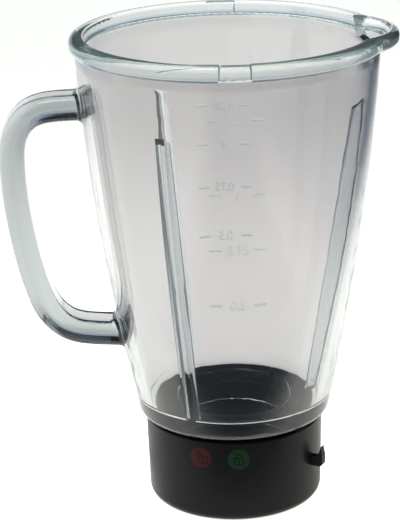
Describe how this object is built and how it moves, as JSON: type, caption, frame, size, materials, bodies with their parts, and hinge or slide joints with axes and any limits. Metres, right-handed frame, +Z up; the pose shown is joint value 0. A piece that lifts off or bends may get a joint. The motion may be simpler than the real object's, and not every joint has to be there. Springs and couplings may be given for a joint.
{
  "type": "blender jar",
  "caption": "Clear glass blender jug with a loop handle, pouring spout, lid ledge and inner ribs, locked into a black collar that seats on a motor unit.",
  "frame": {"origin": "centre of the collar's socket, on the plane the jar stands on", "axes": "+Z up along the jar's axis, +X towards the spout, -X towards the handle"},
  "size_m": [0.1846, 0.1446, 0.2268],
  "materials": {
    "glass_jug": "fire-polished pressed glass",
    "base_gasket": "matt black elastomer",
    "base_collar": "satin moulded plastic"
  },
  "bodies": {
    "root": {"glass_jug": "glass_jug", "base_gasket": "base_gasket", "base_collar": "base_collar"}
  },
  "joints": []
}
